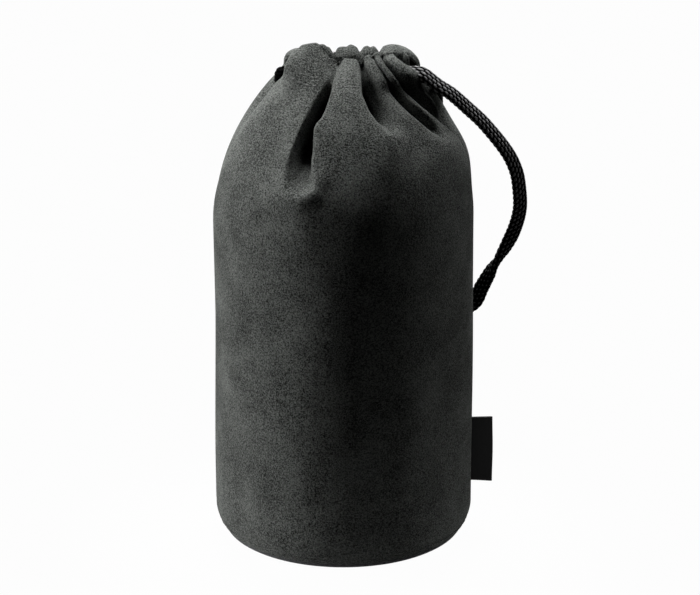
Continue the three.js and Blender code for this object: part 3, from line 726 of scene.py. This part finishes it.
def clothGrid(half):
    # rows: tucked edge, base corner, wall, shoulder, hem face, hem top, mouth;
    # across runs from -1 at the left seam to 1 at the right
    s = named(clothSet)
    across = np.linspace(-1, 1, s.columns)[None, :]
    turn = across * np.pi / 2
    profile, drawn = clothProfile()
    ring, out, length = hemRing(half.depth)
    n, f = len(profile), len(profile) + s.faceRows
    drop = np.linspace(0, 1, s.innerRows + 1)[1:]
    aboveFace = s.topRows + len(drop)
    # share of the ring at each point; the slits at both ends open above the seam
    high = np.concatenate([between(drawn, *s.slitOpens), np.ones(s.faceRows + aboveFace)])[:, None]
    up = np.concatenate([np.zeros(n), np.linspace(0, 1, s.faceRows), np.ones(aboveFace)])[:, None]
    trimRight = half.trimLow + (half.trimTop - half.trimLow) * ease(up)
    start = half.trimLeft * high * (1 - s.leftClosed * between(up, *s.leftCloses)) / length
    stop = 1 - trimRight * high / length
    share = start + (stop - start) * (across + 1) / 2
    rim, rimOut = ringAt(ring, share), unit(ringAt(out, share))
    foot = rim + s.rimOut * rimOut
    standing = np.where(drawn[:, None, None] > 0, s.radius, profile[:, 0][:, None, None])
    wallPlan = standing * stacked(np.sin(turn), -np.cos(turn))
    # towards the middle the shoulder runs straighter: a sine wave is added to how far a row is drawn in
    wave = s.fuller * np.sin(2 * np.pi * drawn[:, None]) / (2 * np.pi)
    gathered = (drawn[:, None] + wave * np.cos(turn) ** 2)[..., None]
    body = wallPlan * (1 - gathered) + foot[:n] * gathered
    # the hem leans in over the middle and stands up round the ends
    rimX = rim[n, :, 0]
    atLeft = 1 - between(rimX, *half.leftEnd)
    atTip = between(-rimOut[n, :, 0], *s.tipTurn)
    atRight = between(rimX, *s.rightEnd)
    shares = [1 - atLeft - atRight, atLeft * (1 - atTip), atLeft * atTip, atRight]
    profiles = [hemProfile(*hem) for hem in half.hems]
    face, top = (sum(part[None, :, None] * line[:, None] for part, line in zip(shares, lines))
                 for lines in zip(*profiles))
    facePlan = rim[n:f] + face[..., :1] * rimOut[n:f]
    lean = half.leanTo
    if lean:  # the left lobe lies right over towards the back
        reach = stacked(np.interp(rimX, lean["rim"], lean["edge"]), np.full(s.columns, lean["back"]))
        way = (s.rimOut - face[..., :1]) / (s.rimOut - face[-1:, :, :1])
        facePlan += atLeft[None, :, None] * (foot[n:f] + (reach - foot[n:f]) * way - facePlan)
    edge = facePlan[-1]
    # the mouth's line bows to the front, and runs to the back at the left end
    off = edge[:, 0] - s.ringCentre
    bow = s.mouthBow * half.side * np.clip(1 - (off / (s.bowReach * s.ringLength)) ** 2, 0, 1)
    lineLeft = between(-edge[:, 0], *s.mouthTurn)
    mouthLine = (1 - lineLeft) * (-half.mouth - bow) + lineLeft * half.mouthLeft
    mouthLine = np.maximum(mouthLine, edge[:, 1] + s.leastTop)
    mouth = stacked(s.ringCentre + s.mouthShrink * off, mouthLine)
    topPlan = edge + (mouth - edge) * top[..., :1]
    innerPlan = mouth + (edge - mouth) * s.innerLean * drop[:, None, None] ** 2
    rimRise = s.leftRise * between(-foot[:f, :, 0], *s.riseFrom)  # the seam is drawn up at the left end
    height = np.concatenate([
        profile[:, 1][:, None] + rimRise[:n] * drawn[:, None] ** 3,
        s.hemHeight + face[..., 1] + rimRise[n:] * (1 - ease(up[n:f])),
        s.hemHeight + top[..., 1],
        s.hemHeight + top[-1, :, 1] - s.hemDrop * drop[:, None]])
    grid = np.concatenate([np.concatenate([body, facePlan, topPlan, innerPlan]), height[..., None]], -1)
    # the left end is closed like a fingertip: drawn towards the middle of the hem by a quarter circle
    tip = np.clip(share * length / s.endClose, 0, 1)
    shut = (1 - np.sqrt(np.clip(1 - (1 - tip) ** 2, 0, 1))) * ease(1.4 * up - 0.2) * s.tipShut
    heart = np.concatenate([rim, np.full(height.shape, s.hemHeight + s.heartUp)[..., None]], -1)
    grid = grid + shut[..., None] * (heart - grid)
    near = bell(np.arange(len(grid)) - n, s.bendReach)[:, None, None]  # ease the bend at the stitches
    for _ in range(s.bendTimes):
        smooth = grid.copy()
        smooth[1:-1] = 0.25 * grid[:-2] + 0.5 * grid[1:-1] + 0.25 * grid[2:]
        grid = grid + near * (smooth - grid)
    return grid, drawn, across, n, f


def clothHalf(name, half):
    s = named(clothSet)
    grid, drawn, across, n, f = clothGrid(half)
    normal = gridNormals(grid)
    lift, lean = foldLift(*cameraPlane(grid), half)
    # past the hem's upper edge the pleats run on towards the mouth
    held = np.linspace(1.0, s.pleatsLeft, len(grid) - f)[:, None]
    lift[f:], lean[f:] = lift[f - 1] * held, 0
    z = grid[..., 2]
    # distance from the side seams; the seams sink into the shoulder and their edges roll in
    reach = np.concatenate([s.wallReach - s.drawnReach * drawn, np.full(len(grid) - n, s.hemReach)])[:, None]
    sunk = between(z, *s.seamSinks) * (1 - between(z, *s.seamRises))
    for sign, sinking in ((-1, half.seamLeft), (1, half.seamRight)):
        gap = (1 - sign * across) * reach
        lift -= sinking * sunk * bell(gap, s.seamWide) + s.seamRoll * bell(gap, s.rollWide)
    # slack of the cloth: long low waves, and a shallow groove at the hem's stitches
    angle = np.arctan2(grid[..., 0], -grid[..., 1])
    lift += 0.28 * np.sin(3.1 * angle + 0.031 * z + 1.3 * half.side)
    lift += 0.2 * np.sin(7.3 * angle - 0.043 * z + 0.7) * between(z, 10, 40)
    lift -= 0.2 * bell(np.arange(len(grid))[:, None] - n, 1.6)
    sideways = unit(np.gradient(grid, axis=1))
    lift, lean = soften(lift), soften(lean)
    grid = grid + normal * lift[..., None] + sideways * lean[..., None]
    points, faces = thickSheet(grid, s.thickness)
    if half.side < 0:  # the back half is the same sheet seen from behind
        points, faces = points * [1, -1, 1], faces[:, ::-1]
    # painted shade where a fold is deep, and a painted shadow of the string beside the right slit
    slitShadow = bell((1 - across) * reach - 2, 5.0) * between(z, *s.slitDark) * (1 - between(z, *s.slitEnds))
    tucked = np.maximum(np.clip((-lift - s.darkFrom) / s.darkOver, 0, 1), s.slitDarkness * slitShadow)
    marks = {"tucked": np.concatenate([tucked.ravel()] * 2)}
    piece = addPiece(name + "Cloth", points, faces, suede, (), marks)
    joinRim(piece, name)
    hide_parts(name + "_panel", name + "_hem")
    return grid, gridNormals(grid), n, -lift[n]


def joinRim(piece, name):  # bakes the piece's placement into its points
    y = -0.0162 if name == "front" else 0.0162
    name + "_rim"
    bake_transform(piece)


# stitches of the hem's seam, left out where it sinks into a fold
stitchSet = {"first": 4.0, "last": 14.0, "every": 3.1, "length": 2.1, "clear": 0.4, "deepest": 0.9,
             "radius": 0.24, "arch": 0.25, "sunk": 0.12, "points": 6}


def hemStitches(name, grid, normal, n, sunken):
    # threads lying along the seam: a circle carried along each short run, closed to a point at both ends
    s = named(stitchSet)
    k = s.points
    run = lengthAlong(grid[n])
    begin = np.arange(s.first, run[-1] - s.last, s.every)
    ends = np.stack([begin - s.clear, begin + s.length + s.clear])
    begin = begin[np.interp(ends, run, sunken).max(axis=0) < s.deepest]
    share = np.linspace(0, 1, k)
    at = begin[:, None] + s.length * share
    centre, up = alongLine(grid[n], run, at), unit(alongLine(normal[n], run, at))
    side = np.cross(unit(np.gradient(centre, axis=1)), up)
    radius = s.radius * np.sqrt(np.clip(1 - (2 * share - 1) ** 2, 0.01, 1))[None, :, None, None]
    angle = (np.arange(k) / k * 2 * np.pi)[:, None]
    lifted = centre + up * (s.arch * np.sin(np.pi * share) - s.sunk)[None, :, None]
    around = np.cos(angle) * up[:, :, None] + np.sin(angle) * side[:, :, None]
    points = (lifted[:, :, None] + radius * around).reshape(-1, 3)
    first = k * k * np.arange(len(begin))[:, None]
    quads = (gridQuads(k, k, closed=True)[None] + first[..., None]).reshape(-1, 4)
    caps = list(first + np.arange(k)[::-1]) + list(first + k * (k - 1) + np.arange(k))
    if name == "back":
        points = points * [1, -1, 1]
        quads, caps = quads[:, ::-1], [c[::-1] for c in caps]
    piece = addPiece(name + "HemStitches", points, quads, thread, caps)
    joinRim(piece, name)


for halfName in ("front", "back"):
    made = clothHalf(halfName, named(halfSets[halfName]))
    hemStitches(halfName, *made)
    print(halfName, "cloth:", made[0].shape)

# string inside the hems: shares of the ring where it begins and stops, and how far in it lies
runSet = {
    "front": (0.13, 0.5, 0.58), "back": (0.25, 0.66, 0.8), "points": 9, "shorter": 0.96, "below": 3.2,
    "crossing": [
        (-15, -4.6, 197.4), (-20, -3.8, 197.2), (-24.2, -2.6, 196.6), (-26, 0, 196.2), (-24.2, 2.6, 196.6),
        (-20, 3.8, 197.2), (-15, 4.6, 197.4)],
}


def addRuns():
    # the string inside each hem follows the ring, and crosses from hem to hem outside the left end
    for name in ("front", "back"):
        half, (begin, stop, inward) = named(halfSets[name]), runSet[name]
        ring, _, _ = hemRing(half.depth)
        line = ringAt(ring, np.linspace(begin, stop, runSet["points"]))
        line = line * [runSet["shorter"], inward * half.side]
        places = [(x, y, clothSet["hemHeight"] - runSet["below"]) for x, y in line]
        run, _ = braidTube(name + "StringRun", places, facing=(0, -half.side, 0.2), shine=dimShine)
        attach(run, name + "_rim")
        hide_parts(name + "_string_run")
    # the crossing's stitches get the darkest painted highlight level, a painted shade
    crossing, _ = braidTube("stringCrossing", runSet["crossing"], facing=(-1, 0, 0.15), shine=darkShine)
    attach(crossing, "pouch")
    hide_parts("string_crossing")


addRuns()
print("string runs laid")

# base cloth: a dish turned up to the seam, its edge tucked in and puckered
baseSet = {"flat": 40.5, "corner": 12.0, "top": 6.7, "thickness": 1.0, "around": 192, "arcRows": 14,
           "rings": (0.5, 12.0, 26.0, 36.0), "tuck": [(-0.5, 0.45), (-1.6, 0.7), (-2.8, 1.0)],
           "pucker": 0.14, "puckers": 64, "puckerReach": 2.6}


def addLathe(name, lines, around, material, ripple=None, loop=False):
    # lines of (radius, height) turned round the upright axis, with an optional radial ripple;
    # a loop joins its last row to its first
    p = np.vstack(lines)
    angle = np.arange(around) / around * 2 * np.pi
    radius = p[:, :1] + (ripple(angle, p[:, 1:]) if ripple else 0)
    points = stacked(radius * np.cos(angle), radius * np.sin(angle), np.repeat(p[:, 1:], around, 1))
    rows = len(p)
    quads = gridQuads(rows + 1 if loop else rows, around, closed=True) % (rows * around)
    piece = addPiece(name, points, quads, material, () if loop else endCaps(rows, around))
    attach(piece, "pouch")
    return piece


def addBase():
    # flat rings, an arc up to the seam and the tucked edge, then the same line back on the inside
    s = named(baseSet)
    arc = np.linspace(np.pi / 2, math.asin((s.corner - s.top) / s.corner), s.arcRows)
    flat = stacked(s.rings, np.zeros(len(s.rings)))
    turned = circle(s.flat, s.corner, s.corner, -arc)
    path = np.vstack([flat, turned, turned[-1] + np.array(s.tuck)])
    along = unit(np.gradient(path, axis=0))
    inner = path + s.thickness * stacked(-along[:, 1], along[:, 0])
    inner[0] = (s.rings[0], s.thickness)

    def pucker(angle, z):  # a wave round the seam, its pitch swaying
        wave = np.sin(s.puckers * angle + 2 * np.sin(5 * angle))
        return s.pucker * wave * bell(z - s.top, s.puckerReach)

    piece = addLathe("baseCloth", [path, inner[::-1]], s.around, suede, pucker)
    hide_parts("base_panel")


discSet = {"hole": 0.5, "rings": 26, "rimRows": 9, "around": 96, "quiltStep": 6.5}


def addDisc(name, node, material, crown, quilt):
    # a round pad: rounded rim, top crowned as 1 - (r/R)^2 and dimpled in rings
    s = named(discSet)
    low, high = (np.array(v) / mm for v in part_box(node))
    reach, bottom, top = high[0], low[2], high[2]
    bend = (top - bottom) / 2
    turn = np.linspace(-np.pi / 2, np.pi / 2, s.rimRows)
    radii = np.linspace(s.hole, reach - bend, s.rings)
    crowned = crown * (1 - (radii / reach) ** 2)
    dimples = quilt * 0.5 * (1 - np.cos(radii / s.quiltStep * 2 * np.pi))
    under = stacked(radii, np.full(len(radii), bottom))
    side = circle(reach - bend, (bottom + top) / 2, bend, turn)
    over = stacked(radii, top - crown + crowned - dimples)[::-1]
    piece = addLathe(name, [under, side[1:-1], over], s.around, material)
    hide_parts(node)
    return piece


sleeveSet = {
    "wallPadding": {"inner": 48.85, "outer": 50.75, "rows": 40, "around": 144},
    "wallLining": {"inner": 47.75, "outer": 48.4, "rows": 60, "around": 180},
}


def addTube(name, node, material, wave):
    # a standing sleeve between two radii: outer wall up, rounded rim, inner wall down, rounded foot
    low, high = (np.array(v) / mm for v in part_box(node))
    s = named(sleeveSet[name])
    mid, half = (s.inner + s.outer) / 2, (s.outer - s.inner) / 2
    up = np.linspace(low[2] + half, high[2] - half, s.rows)
    turn = np.linspace(0, np.pi, 7)
    rim = circle(mid, high[2] - half, half, turn)
    foot = circle(mid, low[2] + half, -half, turn)
    outer, inner = (stacked(np.full(len(up), r), up) for r in (s.outer, s.inner))
    return addLathe(name, [outer, rim[1:-1], inner[::-1], foot[1:-1]], s.around, material, wave, loop=True)


def paddingWave(angle, z):  # shallow lumps, sine round times sine up
    return 0.12 * np.sin(24 * angle) * np.sin(z * 0.26)


def liningWave(angle, z):  # two slow waves that lean opposite ways
    return 0.1 * np.sin(11 * angle + 0.05 * z) + 0.08 * np.sin(5 * angle - 0.11 * z)


def addInside():
    foamPad = addDisc("baseFoam", "base_foam", foam, crown=0.5, quilt=0.0)
    lined = addDisc("baseLining", "base_lining", knit, crown=0.15, quilt=0.12)
    padding = addTube("wallPadding", "front_padding", foam, paddingWave)
    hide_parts("front_padding", "back_padding")
    lining = addTube("wallLining", "front_lining", knit, liningWave)
    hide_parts("front_lining", "back_lining")


# label: a woven tape folded in two and caught in the side seam
labelSet = {"low": 20.0, "high": 48.0, "root": 50.9, "tip": 60.7, "ply": 0.55, "apart": 0.6, "rows": 34,
            "plyPoints": 18, "foldPoints": 11, "freeFrom": 52.5, "freeOver": 8.0}


def addLabel():
    # path in plan: front ply out, half a circle round the fold, back ply home;
    # the middle of the tape bows by sin(pi h)
    s = named(labelSet)
    out = np.linspace(s.root, s.tip, s.plyPoints)
    turn = np.linspace(-np.pi / 2, np.pi / 2, s.foldPoints)[1:-1]
    flat = np.full(s.plyPoints, s.apart)
    x = np.concatenate([out, s.tip + s.apart * np.cos(turn), out[::-1]])
    y = np.concatenate([-flat, s.apart * np.sin(turn), flat])
    h = np.linspace(0, 1, s.rows)[:, None]
    free = np.clip((x - s.freeFrom) / s.freeOver, 0, 1)[None, :]
    bow = (0.5 * np.sin(np.pi * h) - 0.25 + 0.35 * (h - 0.5)) * free ** 2
    grid = np.stack([
        x[None, :] - 0.12 * np.cos(2 * np.pi * h) * free,
        y[None, :] * (1 + 0.15 * np.sin(np.pi * h) * free) + bow,
        s.low + (s.high - s.low) * h + 0.25 * (free - 0.5) * (2 * h - 1)], -1)
    points, faces = thickSheet(grid, s.ply)
    piece = addPiece("sideLabel", points, faces, satin)
    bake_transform(piece)
    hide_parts("label")


addBase()
addInside()
addLabel()
print("base, inside and label sewn in")


def seenDirectly(w):  # 1 for rays from the camera, off gloss or through glass, otherwise 0
    rays = w.node("LightPath", out=0) + w.node("LightPath", out=3) + w.node("LightPath", out=6)
    return w.maths("MINIMUM", rays, 1.0)


# floor: white to the camera; for other light its colour is a painted pool of light, grey round the object's
# foot and dark further out, shaping the light it throws back onto the pouch
floorSet = {"half": 4000.0, "glowShift": (0.0, 0.2, 0.0), "glowScale": (8.0, 8.0, 8.0), "glow": 0.9,
            "dark": (0.03, 0.03, 0.03), "pale": (0.95, 0.95, 0.95), "white": 0.98}


def addFloor():
    s = named(floorSet)
    finish, w = newFinish("paleFloor")
    spread = w.node("Mapping", None, {
        "Vector": w.node("TexCoord", out=3), "Location": s.glowShift, "Scale": s.glowScale})
    near = w.node("TexGradient", {"gradient_type": "SPHERICAL"}, {"Vector": spread}, out=1)
    plain = w.node("BsdfDiffuse", None, {"Color": greyRange(w, near * s.glow, s.dark, s.pale)})
    white = w.node("Emission", None, {"Color": (1, 1, 1, 1), "Strength": 1.0})
    closeFinish(w, w.node("MixShader", None, {0: seenDirectly(w) * s.white, 1: plain, 2: white}))
    corners = s.half * np.array([[-1, -1, 0], [1, -1, 0], [1, 1, 0], [-1, 1, 0]], float)
    floor = addPiece("floor", corners, np.array([[0, 1, 2, 3]]), finish)


# lamps: place and size in metres, power in watts; all aim at the middle of the pouch
lampAim = (0, 0, 0.12)
lampSet = {
    "sideLeft": ((-1.39, 0.12, 0.24), 0.7, 21),
    "highLeft": ((-1.2, 0.05, 0.85), 0.6, 4.6),
    "sideRight": ((1.2, 0.5, 0.4), 0.6, 3.2),
    "topBehind": ((0, 0.62, 1.37), 0.7, 33),
}


def addLamp(name, place, size, power):
    lamp = bpy.data.lights.new(name, "AREA")
    lamp.shape = "RECTANGLE"
    lamp.size, lamp.size_y = size, size
    lamp.energy = power
    light = addObject(name, lamp)
    light.location = place
    light.rotation_euler = (Vector(lampAim) - Vector(place)).to_track_quat("-Z", "Y").to_euler()


def addWorld():
    scene.world = bpy.data.worlds.new("studio")
    w = emptyTree(scene.world)
    dim, white = (w.node("Background", None, {"Color": (1, 1, 1, 1), "Strength": v}) for v in (0.007, 1.0))
    closeFinish(w, w.node("MixShader", None, {0: seenDirectly(w), 1: dim, 2: white}), "World")


addFloor()
addWorld()
for lampName, lampLook in lampSet.items():
    addLamp(lampName, *lampLook)
print("studio lit")
